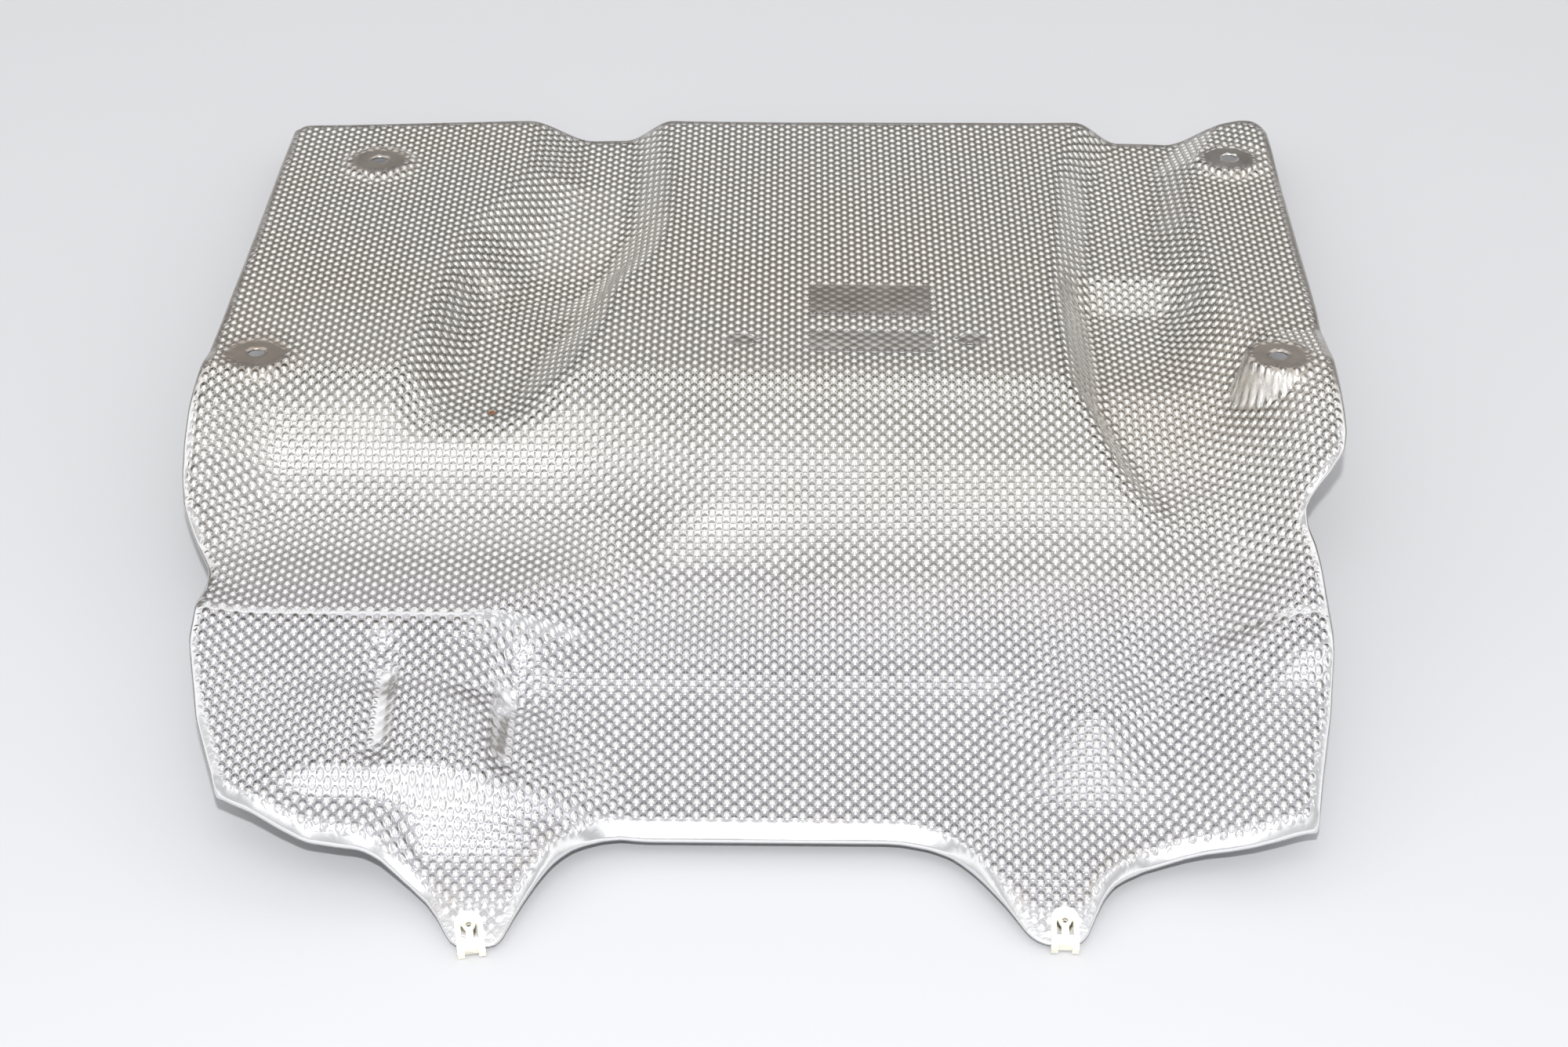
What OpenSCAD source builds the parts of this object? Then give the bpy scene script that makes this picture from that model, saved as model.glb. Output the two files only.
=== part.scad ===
// Embossed aluminium heat shield: one stamped sheet with two channels, pockets,
// raised bolt pads and a rolled front lip, and two moulded clips pushed onto its tabs.
// Plan coordinates: x runs to the right, v runs from the back edge toward the front.

/* [Sheet] */
// Thickness of the stamped sheet
sheet_t = 1.0; // [0.8:0.1:1.4]
// Height of the back edge before the part is set down
back_z = 16.2; // [14:0.1:18]
// Height of the cross ridge before the part is set down
ridge_z = 72.5; // [66:0.5:76]
// Distance of the cross ridge from the back edge
ridge_v = 303; // [300:1:306]
// Lift that stands the part on its clips and channel floors
rest_lift = 1.14; // [1:0.01:3]
// Distance from the back edge to the frame's origin
mid_v = 315.6; // [310:0.1:325]
// Drop of the rolled front lip
lip_drop = 4.5; // [2:0.5:6]
// Width of the rolled front lip
lip_w = 7; // [5:0.5:9]

/* [Channels] */
// Depth of the left channel at the back edge
left_channel_d = 15; // [10:0.5:16]
// Depth of the pocket that carries the left channel through the ridge
left_pocket_d = 18.5; // [12:0.5:20]
// Depth of the right channel
right_channel_d = 14.9; // [12:0.1:15.5]
// Extra depth of the pocket at the end of the right channel
right_pocket_d = 8; // [4:0.5:9]

/* [Front panel] */
// Height gained by the left boss over its valleys
left_boss_h = 4; // [3:0.5:7]
// Height of the step in front of the left boss
front_step = 9; // [6:0.5:11]
// Height of the top of the right boss
right_boss_z = 39.5; // [38:0.5:43]
// Rise of the right wing at its highest
right_wing_h = 32; // [24:1:34]

/* [Bolt pads] */
// Diameter of the four bolt holes
hole_d = 8.3; // [6.5:0.1:9]
// Radius of the flat pad round each hole
pad_r = 16; // [14:0.5:18]
// Width of the sloping rim round each pad
pad_rim = 7; // [5:0.5:9]

/* [Tabs and clips] */
// Distance of each tab's middle from the centre line
tab_x = [-128.5, 138.5];
// Height of a tab's tip over the floor, before the part is set down
tab_z = 2.9; // [2:0.05:4]
// Distance of each tab's tip from the back edge
tab_v = [633, 627.5];
// Slope of the tabs
tab_slope = 0.3; // [0.2:0.01:0.36]
// Diameter of the hole in each tab, under the clip
tab_hole_d = 6; // [5:0.5:7]
// Distance of each clip's middle from the centre line
clip_x = [-128.5, 141];
// Width of a clip
clip_w = 12.8; // [12:0.1:14]
// Thickness of a clip's upper jaw
clip_up = 2.2; // [1.8:0.1:2.6]
// Thickness of a clip's lower jaw
clip_low = 1.6; // [1.4:0.1:2]
// Diameter of the hole through a clip
clip_hole_d = 2.8; // [2.4:0.1:3.4]
// Gap between a clip's jaw and the tab
clip_gap = 0.05; // [0.03:0.01:0.1]
// Turn of each clip on its tab
clip_turn = [9, -1];

/* [Hidden] */
$fn = 48;

plate_slope = (ridge_z - back_z) / ridge_v;

// long sections through the sheet: [distance from the back edge, height]
mid_section = [[-20, back_z - 3.6], [0, back_z], [285, ridge_z - 2.2], [ridge_v, ridge_z],
    [320, 71], [345, 64.5], [372, 53.5], [398, 43], [418, 38], [445, 35.5], [476, 33],
    [492, 28.5], [520, 22], [560, 15], [590, 9.5], [640, 1]];
left_section = [[-20, back_z - 3.6], [0, back_z], [285, ridge_z - 2.4], [301, ridge_z - 1],
    [318, 68], [340, 58.5], [362, 47.5], [382, 41.5], [400, 42.5], [430, 47], [458, 50],
    [466, 50], [484, 47], [510, 43.5], [545, 42.5], [575, 41], [600, 34], [640, 22]];

// outline in plan
left_edge = [[0, -271.5], [16, -274], [67, -276], [146, -278], [190, -279.5], [254, -282.5],
    [298, -285.5], [332, -289.5], [351, -290], [370, -289], [386, -286.5], [398, -282],
    [414, -275], [428, -269], [442, -268.5], [458, -271], [483, -271.5], [531, -262.5],
    [573, -249]];
right_edge = [[0, 285], [16, 287], [58, 288.5], [142, 289], [226, 290], [280, 289], [308, 289],
    [340, 290], [355, 290], [366, 288], [378, 280], [388, 271], [397, 266.5], [408, 267],
    [420, 269.5], [434, 271], [463, 273], [476, 273.5], [487, 273], [514, 270], [547, 264],
    [573, 260]];
back_edge = [[-271.5, 15], [-270, 11.5], [-267, 9.5], [-262, 9], [-244, 8], [-208, 5],
    [-154, 0.5], [-118, -2], [-82, -4], [-46, -2.5], [8, -2.5], [62, -3.7], [116, -5],
    [152, -5.5], [170, -6.5], [206, -7.5], [224, -7], [244, -5.5], [262, -5.5], [273, -4.5],
    [280, -1.5], [284.5, 3.5], [287, 11]];
front_edge = [[-249, 573], [-241, 577], [-230, 582], [-219, 587], [-208, 591], [-190, 593.5],
    [-180, 594.5], [-172, 596], [-165, 599.5], [-158, 604], [-151, 610.5], [-145, 619],
    [-141, 626.5], [-138, 631], [-134, tab_v[0]], [-123, tab_v[0]], [-118, 632], [-115, 629],
    [-110, 618], [-105, 608], [-100, 599], [-95, 591], [-90, 584.5], [-85, 579.5], [-79, 575.5],
    [-72, 572.5], [-62, 571], [60, 570.5], [68, 571], [75, 572.5], [80, 573.5], [85, 575.5],
    [90, 578], [95, 582.5], [100, 588], [105, 594.5], [110, 601.5], [115, 608.5], [120, 616],
    [124, 622], [128, 625.5], [133, tab_v[1]], [144, tab_v[1]], [149, 626], [152, 622],
    [156, 612.5], [160, 604], [165, 597], [171, 592], [179, 587], [188, 584.5], [198, 582.5],
    [208, 581.5], [219, 581.5], [230, 580.5], [241, 578], [252, 574.5], [260, 573]];

// stations of the sheet's mesh: across the front edge, and back to front
x_at = [-249, -246, -240, -230, -219, -208, -197, -187, -178, -170, -163, -157, -151, -145,
    -141, -138, -134, -128.5, -123, -118, -115, -110, -104, -98, -92, -85, -79, -72, -62,
    -50, -36, -22, -7, 8, 23, 37, 50, 60, 68, 75, 80, 86, 92, 98, 104, 110, 117,
    124, 128, 133, 138.5, 144, 149, 152, 156, 160, 165, 171, 179, 188, 198, 208, 219, 230, 241,
    252, 257, 260];
v_at = [24, 37, 50, 62, 76, 94, 113, 132, 151, 169, 186, 202, 217, 231, 244, 256, 267, 279, 291,
    303, 314, 327, 341, 356, 371, 386, 401, 416, 431, 446, 458, 468, 481, 494, 507, 521, 534];

// bolt holes: [x, distance from the back edge, height of the pad's middle]
pads = [[-220, 61, back_z + 15], [262, 45, back_z + 12], [-260, 289, ridge_z - 0.6],
    [261.5, 297, ridge_z + 12]];

// ---- smooth helper curves
function clamp01(t) = max(0, min(1, t));
function ramp(a, b, t) = let (q = clamp01((t - a) / (b - a))) q * q * (3 - 2 * q);
function bell(t, w) = let (q = min(1, abs(t) / w)) (1 - q * q) * (1 - q * q);
function smin(a, b, k) = let (h = max(k - abs(a - b), 0) / k) min(a, b) - h * h * k / 4;
function smax(a, b, k) = -smin(-a, -b, k);
function seg(v, k, i = 0) = (i >= len(k) - 2 || v < k[i + 1][0]) ? i : seg(v, k, i + 1);
function rise(k, i) = (k[i + 1][1] - k[i][1]) / (k[i + 1][0] - k[i][0]);
function tang(k, i) = i == 0 ? rise(k, 0) : i == len(k) - 1 ? rise(k, i - 1)
    : let (a = rise(k, i - 1), b = rise(k, i)) a * b <= 0 ? 0 : 2 * a * b / (a + b);
// smooth curve through the points of a section
function curve(v, k) = let (i = seg(v, k), h = k[i + 1][0] - k[i][0], t = (v - k[i][0]) / h)
    k[i][1] * (1 + 2 * t) * (1 - t) * (1 - t) + h * tang(k, i) * t * (1 - t) * (1 - t)
    + k[i + 1][1] * t * t * (3 - 2 * t) + h * tang(k, i + 1) * t * t * (t - 1);

// ---- height of the sheet's upper face, feature by feature
// plate, ridge and trough, with the left section blended in, and the raised side wings
function base_z(x, v) =
    let (c = curve(v, mid_section) - 3.5 * bell(x + 30, 75) * bell(v - 425, 50),
        l = curve(v, left_section),
        xc = lookup(v, [[300, -60], [355, -60], [385, -62], [430, -76], [450, -92], [475, -120],
            [500, -130], [540, -109], [600, -97]]),
        hw = lookup(v, [[300, 60], [355, 50], [400, 34], [460, 36], [480, 38], [500, 30],
            [540, 50], [600, 60]]),
        m = 1 - ramp(xc - hw, xc + hw, x),
        wing = lookup(v, [[250, 0], [300, 13], [340, 20], [380, 27], [400, right_wing_h],
            [420, right_wing_h], [460, 25], [485, 24], [500, 20], [540, 17], [575, 14], [640, 10]]),
        x0 = lookup(v, [[250, 240], [300, 236], [340, 212], [420, 212], [460, 205], [485, 185],
            [500, 165], [540, 150], [600, 150]]),
        x1 = lookup(v, [[250, 270], [300, 262], [340, 285], [420, 284], [460, 266], [485, 266],
            [500, 250], [600, 245]]),
        lwing = lookup(v, [[285, 0], [300, 4], [340, 9], [365, 13], [385, 13], [410, 4], [440, 2],
            [480, 7], [520, 9], [580, 6]]),
        rise_right = 3.5 * ramp(20, 160, x) * (1 - ramp(200, 260, x)) * ramp(330, 370, v)
            * (1 - ramp(440, 500, v)))
    c * (1 - m) + l * m + wing * ramp(x0, x1, x) + lwing * (1 - ramp(-285, -238, x)) + rise_right;

// left channel: a scoop from the back edge, then a pocket parallel to the plate
function with_left_channel(z, x, v) =
    let (xl = lookup(v, [[-20, -140], [0, -140], [60, -142], [100, -152], [140, -168],
            [180, -176], [240, -184]]),
        wl = lookup(v, [[-20, 36], [0, 38], [60, 42], [100, 40], [140, 48], [180, 52], [240, 50]]),
        xr = lookup(v, [[-20, -56], [0, -56], [60, -50], [120, -48], [160, -54], [180, -61],
            [200, -70], [220, -78], [250, -80]]),
        wr = lookup(v, [[0, 28], [60, 32], [120, 38], [160, 42], [200, 42]]),
        d = left_channel_d * lookup(v, [[0, 1], [60, 1.12], [100, 1.37], [140, 1.68], [160, 1.78],
            [185, 1.75], [205, 1.58], [225, 1.3], [245, 0.75], [265, 0]]),
        za = z - d * ramp(xl, xl + wl, x) * (1 - ramp(xr - wr, xr, x)),
        px = lookup(v, [[170, -168], [200, -171], [240, -177], [290, -187], [350, -196]]),
        qx = lookup(v, [[170, -70], [200, -74], [240, -78], [290, -90], [320, -98], [350, -124]]),
        m = ramp(px, px + 32, x) * (1 - ramp(qx - 40, qx, x)) * ramp(168, 200, v),
        floor_z = back_z + 1.5 + 0.184 * v - left_pocket_d)
    za + (smin(za, floor_z, 5) - za) * m;

// right channel: parallel to the plate, a deeper pocket at its end, and a dish beyond the crease
function with_right_channel(z, x, v) =
    let (xl = lookup(v, [[-20, 180], [0, 176], [30, 166], [60, 160], [200, 150], [300, 152],
            [350, 168], [400, 190]]),
        xr = lookup(v, [[-20, 266], [0, 264], [40, 248], [120, 240], [200, 244], [250, 262],
            [300, 290], [400, 280]]),
        wr = lookup(v, [[200, 34], [250, 60], [300, 90]]),
        m = ramp(xl, xl + 26, x) * (1 - ramp(xr - wr, xr, x)) * (1 - ramp(350, 425, v)),
        floor_z = back_z + plate_slope * v - right_channel_d
            - right_pocket_d * lookup(v, [[165, 0], [195, 1]]),
        dish = 47.5 - 0.055 * (v - 268))
    z + (smin(z, smin(floor_z, dish, 3), 4) - z) * m;

// left boss between two narrow valleys, and the step in front of it
function with_left_boss(z, x, v) =
    let (on = ramp(466, 484, v) * (1 - ramp(545, 562, v)),
        st = front_step * lookup(x, [[-232, 0], [-204, 1], [-90, 1], [-64, 0]]))
    z - on * left_boss_h * (0.93 * bell(x + 179, 11) + 1.07 * bell(x + 117, 12))
    - 0.65 * st * ramp(556, 574, v) + 0.3 * st * ramp(495, 515, v) * (1 - ramp(556, 574, v));

// right boss: a round-nosed bump standing out of the front panel
function with_right_boss(z, x, v) =
    let (r = norm([x - 159, max(448 - v, v - 500, 0)]))
    smax(z, right_boss_z + 1.7 - 0.42 * sqrt(pow(max(r - 8, 0), 2) + 16), 6);

// the back right corner turns up
function with_corner(z, x, v) = z + 5 * ramp(255, 280, x) * (1 - ramp(20, 70, v));

// tabs: flat tips on a common slope
function with_tab(z, x, v, n) =
    z + (tab_z + tab_slope * (tab_v[n] - v) - z) * ramp(552, 592, v) * (1 - ramp(22, 56, abs(x - tab_x[n])));

// pads: flat rounds parallel to the plate
function with_pad(z, x, v, p) =
    let (r = norm([x - p[0], v - p[1]]))
    r > pad_r + pad_rim ? z : z + (p[2] + plate_slope * (v - p[1]) - z) * (1 - ramp(pad_r, pad_r + pad_rim, r));

function form_z(x, v) =
    let (a = with_right_channel(with_left_channel(base_z(x, v), x, v), x, v),
        b = with_corner(with_right_boss(with_left_boss(a, x, v), x, v), x, v),
        c = with_tab(with_tab(b, x, v, 0), x, v, 1),
        d = with_pad(with_pad(c, x, v, pads[0]), x, v, pads[1]))
    with_pad(with_pad(d, x, v, pads[2]), x, v, pads[3]);

// ---- the sheet's mesh: every station lies on the outline or inside it
nx = len(x_at);
nv = len(v_at) + 9;
function share(i) = (x_at[i] - x_at[0]) / (x_at[nx - 1] - x_at[0]);
function row_v(i, j) =
    let (s = share(i), vb = lookup(-271.5 + 558.5 * s, back_edge), vf = lookup(x_at[i], front_edge),
        v0 = v_at[len(v_at) - 1], k = j - 3 - len(v_at))
    j == 0 ? vb : j == 1 ? vb + 2.5 : j == 2 ? vb + 7
    : k < 0 ? v_at[j - 3]
    : k == 0 ? v0 + (vf - lip_w - v0) * 0.34 : k == 1 ? v0 + (vf - lip_w - v0) * 0.67
    : k == 2 ? vf - lip_w : k == 3 ? vf - 0.58 * lip_w : k == 4 ? vf - 0.25 * lip_w : vf;
function row_x(i, v) = lookup(v, left_edge) + (lookup(v, right_edge) - lookup(v, left_edge)) * share(i);
// lip and hems: how far the rim is turned down below the form
function lip_z(x, v, xf) =
    let (d = lookup(xf, front_edge) - v,
        t = min(abs(xf - tab_x[0]), abs(xf - tab_x[1])),
        full = lip_drop * ramp(13, 42, t))
    d > lip_w ? 0 : full * pow(1 - d / lip_w, 1.6);
function hem_z(x, v) =
    let (d = min(x - lookup(v, left_edge), lookup(v, right_edge) - x)) d > 5 ? 0 : 1.4 * pow(1 - d / 5, 2);
function top_point(i, j) =
    let (v = row_v(i, j), x = row_x(i, v)) [x, v, form_z(x, v) - lip_z(x, v, x_at[i]) - hem_z(x, v)];

grid = [for (j = [0 : nv - 1]) [for (i = [0 : nx - 1]) top_point(i, j)]];
// local steepness, so that the sheet keeps its thickness on the walls
function steep(i, j) =
    let (a = grid[j][max(i - 1, 0)], b = grid[j][min(i + 1, nx - 1)],
        c = grid[max(j - 1, 0)][i], d = grid[min(j + 1, nv - 1)][i],
        gx = (b[2] - a[2]) / max(0.1, b[0] - a[0]), gv = (d[2] - c[2]) / max(0.1, d[1] - c[1]))
    min(1.5, sqrt(1 + gx * gx + gv * gv));
function place(p, drop) = [p[0], mid_v - p[1], p[2] + rest_lift - drop];
// in the flat tips and pads the thickness is exact, so that bores and clips meet true planes
function flat_here(p) =
    min([for (q = pads) norm([p[0] - q[0], p[1] - q[1]])]) < pad_r ? sqrt(1 + plate_slope * plate_slope)
    : (p[1] > 600 && min(abs(p[0] - tab_x[0]), abs(p[0] - tab_x[1])) < 26) ? sqrt(1 + tab_slope * tab_slope) : 0;
tops = [for (j = [0 : nv - 1]) for (i = [0 : nx - 1]) place(grid[j][i], 0)];
bottoms = [for (j = [0 : nv - 1]) for (i = [0 : nx - 1])
    let (f = flat_here(grid[j][i])) place(grid[j][i], sheet_t * (f > 0 ? f : steep(i, j)))];
function at(i, j) = j * nx + i;
nn = nx * nv;
sheet_faces = concat(
    [for (j = [0 : nv - 2]) for (i = [0 : nx - 2]) each
        [[at(i, j), at(i + 1, j), at(i + 1, j + 1)], [at(i, j), at(i + 1, j + 1), at(i, j + 1)]]],
    [for (j = [0 : nv - 2]) for (i = [0 : nx - 2]) each
        [[nn + at(i, j), nn + at(i + 1, j + 1), nn + at(i + 1, j)],
         [nn + at(i, j), nn + at(i, j + 1), nn + at(i + 1, j + 1)]]],
    [for (i = [0 : nx - 2]) each
        [[at(i, 0), nn + at(i, 0), nn + at(i + 1, 0)], [at(i, 0), nn + at(i + 1, 0), at(i + 1, 0)]]],
    [for (i = [0 : nx - 2]) each
        [[at(i, nv - 1), nn + at(i + 1, nv - 1), nn + at(i, nv - 1)],
         [at(i, nv - 1), at(i + 1, nv - 1), nn + at(i + 1, nv - 1)]]],
    [for (j = [0 : nv - 2]) each
        [[at(0, j), nn + at(0, j + 1), nn + at(0, j)], [at(0, j), at(0, j + 1), nn + at(0, j + 1)]]],
    [for (j = [0 : nv - 2]) each
        [[at(nx - 1, j), nn + at(nx - 1, j), nn + at(nx - 1, j + 1)],
         [at(nx - 1, j), nn + at(nx - 1, j + 1), at(nx - 1, j + 1)]]]);

// bolt holes and the clearance holes in the tabs, square to the sheet
module bolt_hole(p) {
    translate([p[0], mid_v - p[1], p[2] + rest_lift]) rotate([-atan(plate_slope), 0, 0])
        cylinder(h = 12, d = hole_d, center = true);
}
// a frame on a tab: origin by the middle of the tip's edge on the upper face, y up the tab,
// moved out so that a turned clip still clears the straight edge
clip_out = 0.15;
module on_tab(n) {
    translate([clip_x[n], mid_v - tab_v[n], tab_z + rest_lift]) rotate([atan(tab_slope), 0, 0])
        translate([0, -clip_out - clip_w / 2 * abs(sin(clip_turn[n])), 0])
            rotate([0, 0, clip_turn[n]]) children();
}
clip_hole_y = 11.5;

module heat_shield() {
    color([0.80, 0.79, 0.78]) difference() {
        polyhedron(points = concat(tops, bottoms), faces = sheet_faces, convexity = 12);
        for (p = pads) bolt_hole(p);
        for (n = [0, 1]) on_tab(n) translate([0, clip_hole_y, 0])
            cylinder(h = 8, d = tab_hole_d, center = true);
    }
}

// plan of a clip's upper jaw: two arms joined by a round arch, with a tongue between them
module clip_jaw_plan() {
    difference() {
        union() {
            translate([-clip_w / 2, 0]) square([clip_w, 12]);
            translate([0, 12]) circle(d = clip_w);
        }
        difference() {
            union() {
                translate([-3.9, 2.4]) square([7.8, 8.6]);
                translate([0, 11]) circle(r = 3.9);
            }
            translate([-1.7, 2]) square([3.4, 9]);
            translate([0, clip_hole_y]) circle(r = 3);
            translate([-4, clip_hole_y]) square([8, 5]);
        }
    }
}
module clip_body(n) {
    color([0.93, 0.92, 0.84]) on_tab(n) difference() {
        union() {
            // upper jaw
            translate([0, 0, clip_gap]) linear_extrude(clip_up) clip_jaw_plan();
            // front wall, higher than the jaws, with two square feet
            translate([-clip_w / 2, -1.6, -sheet_t - clip_gap - clip_low])
                cube([clip_w, 1.3, sheet_t + 2 * clip_gap + clip_low + clip_up + 0.9]);
            translate([-clip_w / 2, -0.4, clip_gap]) cube([clip_w, 4, clip_up + 0.9]);
            for (s = [-1, 1]) translate([s * (clip_w / 2 - 1.6) - 1.6, -3.2, -sheet_t - clip_gap - clip_low])
                cube([3.2, 1.7, sheet_t + 2 * clip_gap + clip_low + clip_up + 0.1]);
            // lower jaw
            translate([0, 0, -sheet_t - clip_gap - clip_low]) linear_extrude(clip_low) union() {
                translate([-clip_w / 2, -0.4]) square([clip_w, 12.4]);
                translate([0, 12]) circle(d = clip_w);
            }
        }
        translate([0, clip_hole_y, -10]) cylinder(h = 20, d = clip_hole_d);
    }
}
module clip_left() { clip_body(0); }
module clip_right() { clip_body(1); }

heat_shield();
clip_left();
clip_right();
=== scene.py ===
import math

import bpy
import numpy as np
from mathutils import Matrix, Vector
from mathutils.geometry import delaunay_2d_cdt


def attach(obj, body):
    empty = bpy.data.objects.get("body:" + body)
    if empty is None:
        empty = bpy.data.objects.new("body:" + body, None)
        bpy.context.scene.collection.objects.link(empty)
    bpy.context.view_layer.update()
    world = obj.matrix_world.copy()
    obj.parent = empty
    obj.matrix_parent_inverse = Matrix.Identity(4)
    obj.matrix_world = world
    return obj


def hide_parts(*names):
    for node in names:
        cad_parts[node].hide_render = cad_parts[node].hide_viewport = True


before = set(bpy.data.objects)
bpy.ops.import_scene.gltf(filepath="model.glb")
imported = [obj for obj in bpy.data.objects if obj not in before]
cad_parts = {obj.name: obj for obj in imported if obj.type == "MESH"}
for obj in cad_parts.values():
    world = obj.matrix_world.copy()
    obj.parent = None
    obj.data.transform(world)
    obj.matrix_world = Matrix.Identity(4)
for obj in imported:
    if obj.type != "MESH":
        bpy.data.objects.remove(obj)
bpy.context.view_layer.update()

# ------------------------------------------------------------------ dimensions, mm
SHEET_T = 1.0
BACK_Z = 16.2
RIDGE_Z = 72.5
RIDGE_V = 303.0
REST_LIFT = 1.14
MID_V = 315.6
LIP_DROP = 4.5
LIP_W = 7.0
LEFT_CHANNEL_D = 15.0
LEFT_POCKET_D = 18.5
RIGHT_CHANNEL_D = 14.9
RIGHT_POCKET_D = 8.0
LEFT_BOSS_H = 4.0
FRONT_STEP = 9.0
RIGHT_BOSS_Z = 39.5
RIGHT_WING_H = 32.0
HOLE_D = 8.3
PAD_R = 16.0
PAD_RIM = 7.0
TAB_X = (-128.5, 138.5)
TAB_Z = 2.9
TAB_V = (633.0, 627.5)
TAB_SLOPE = 0.3
TAB_HOLE_D = 6.0
CLIP_X = (-128.5, 141.0)
CLIP_W = 12.8
CLIP_OUT = 0.15
CLIP_TURN = (9.0, -1.0)
CLIP_HOLE_Y = 11.5
PLATE_SLOPE = (RIDGE_Z - BACK_Z) / RIDGE_V

PITCH = 5.0  # emboss pitch along the turned rows
CELL = PITCH / math.sqrt(2.0) / 2.0  # half of the row distance
DOME_H = 0.8  # height of a dome
DOME_RX = 2.1  # half width and half length of a dome's foot
DOME_RS = 3.1

MID_SECTION = [(-20, BACK_Z - 3.6), (0, BACK_Z), (285, RIDGE_Z - 2.2), (RIDGE_V, RIDGE_Z), (320, 71), (345, 64.5),
               (372, 53.5), (398, 43), (418, 38), (445, 35.5), (476, 33), (492, 28.5), (520, 22), (560, 15),
               (590, 9.5), (640, 1)]
LEFT_SECTION = [(-20, BACK_Z - 3.6), (0, BACK_Z), (285, RIDGE_Z - 2.4), (301, RIDGE_Z - 1), (318, 68), (340, 58.5),
                (362, 47.5), (382, 41.5), (400, 42.5), (430, 46.6), (456, 50.2), (461.5, 51), (467, 50), (484, 46.6), (510, 43.5),
                (545, 42.5), (575, 41), (600, 34), (640, 22)]
LEFT_EDGE = [(0, -271.5), (16, -274), (67, -276), (146, -278), (190, -279.5), (254, -282.5), (298, -285.5),
             (332, -289.5), (351, -290), (370, -289), (386, -286.5), (398, -282), (414, -275), (428, -269),
             (442, -268.5), (458, -271), (483, -271.5), (531, -262.5), (573, -249)]
RIGHT_EDGE = [(0, 285), (16, 287), (58, 288.5), (142, 289), (226, 290), (280, 289), (308, 289), (340, 290),
              (355, 290), (366, 288), (378, 280), (388, 271), (397, 266.5), (408, 267), (420, 269.5), (434, 271),
              (463, 273), (476, 273.5), (487, 273), (514, 270), (547, 264), (573, 260)]
BACK_EDGE = [(-271.5, 15), (-270, 11.5), (-267, 9.5), (-262, 9), (-244, 8), (-208, 5), (-154, 0.5), (-118, -2),
             (-82, -4), (-46, -2.5), (8, -2.5), (62, -3.7), (116, -5), (152, -5.5), (170, -6.5), (206, -7.5),
             (224, -7), (244, -5.5), (262, -5.5), (273, -4.5), (280, -1.5), (284.5, 3.5), (287, 11)]
FRONT_EDGE = [(-249, 573), (-241, 577), (-230, 582), (-219, 587), (-208, 591), (-190, 593.5), (-180, 594.5),
              (-172, 596), (-165, 599.5), (-158, 604), (-151, 610.5), (-145, 619), (-141, 626.5), (-138, 631),
              (-134, TAB_V[0]), (-123, TAB_V[0]), (-118, 632), (-115, 629), (-110, 618), (-105, 608), (-100, 599),
              (-95, 591), (-90, 584.5), (-85, 579.5), (-79, 575.5), (-72, 572.5), (-62, 571), (60, 570.5),
              (68, 571), (75, 572.5), (80, 573.5), (85, 575.5), (90, 578), (95, 582.5), (100, 588), (105, 594.5),
              (110, 601.5), (115, 608.5), (120, 616), (124, 622), (128, 625.5), (133, TAB_V[1]), (144, TAB_V[1]),
              (149, 626), (152, 622), (156, 612.5), (160, 604), (165, 597), (171, 592), (179, 587), (188, 584.5),
              (198, 582.5), (208, 581.5), (219, 581.5), (230, 580.5), (241, 578), (252, 574.5), (260, 573)]
PADS = [(-220, 61, BACK_Z + 15.0), (262, 45, BACK_Z + 12.0), (-260, 289, RIDGE_Z - 0.6), (261.5, 297, RIDGE_Z + 12.0)]


# ------------------------------------------------------------------ the sheet's form
def look(v, table):
    return np.interp(v, [p[0] for p in table], [p[1] for p in table])


def ramp(a, b, t):
    q = np.clip((t - a) / (b - a), 0, 1)
    return q * q * (3 - 2 * q)


def bell(t, w):
    q = np.minimum(1, np.abs(t) / w)
    return (1 - q * q) ** 2


def smin(a, b, k):
    h = np.maximum(k - np.abs(a - b), 0) / k
    return np.minimum(a, b) - h * h * k / 4


def smax(a, b, k):
    return -smin(-a, -b, k)


def curve(v, table):
    kx = np.array([p[0] for p in table], float)
    kz = np.array([p[1] for p in table], float)
    rise = np.diff(kz) / np.diff(kx)
    tang = np.zeros(len(kx))
    tang[0], tang[-1] = rise[0], rise[-1]
    for i in range(1, len(kx) - 1):
        a, b = rise[i - 1], rise[i]
        tang[i] = 0 if a * b <= 0 else 2 * a * b / (a + b)
    i = np.clip(np.searchsorted(kx, v, side="right") - 1, 0, len(kx) - 2)
    h = kx[i + 1] - kx[i]
    t = (v - kx[i]) / h
    return (kz[i] * (1 + 2 * t) * (1 - t) ** 2 + h * tang[i] * t * (1 - t) ** 2
            + kz[i + 1] * t * t * (3 - 2 * t) + h * tang[i + 1] * t * t * (t - 1))


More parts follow.
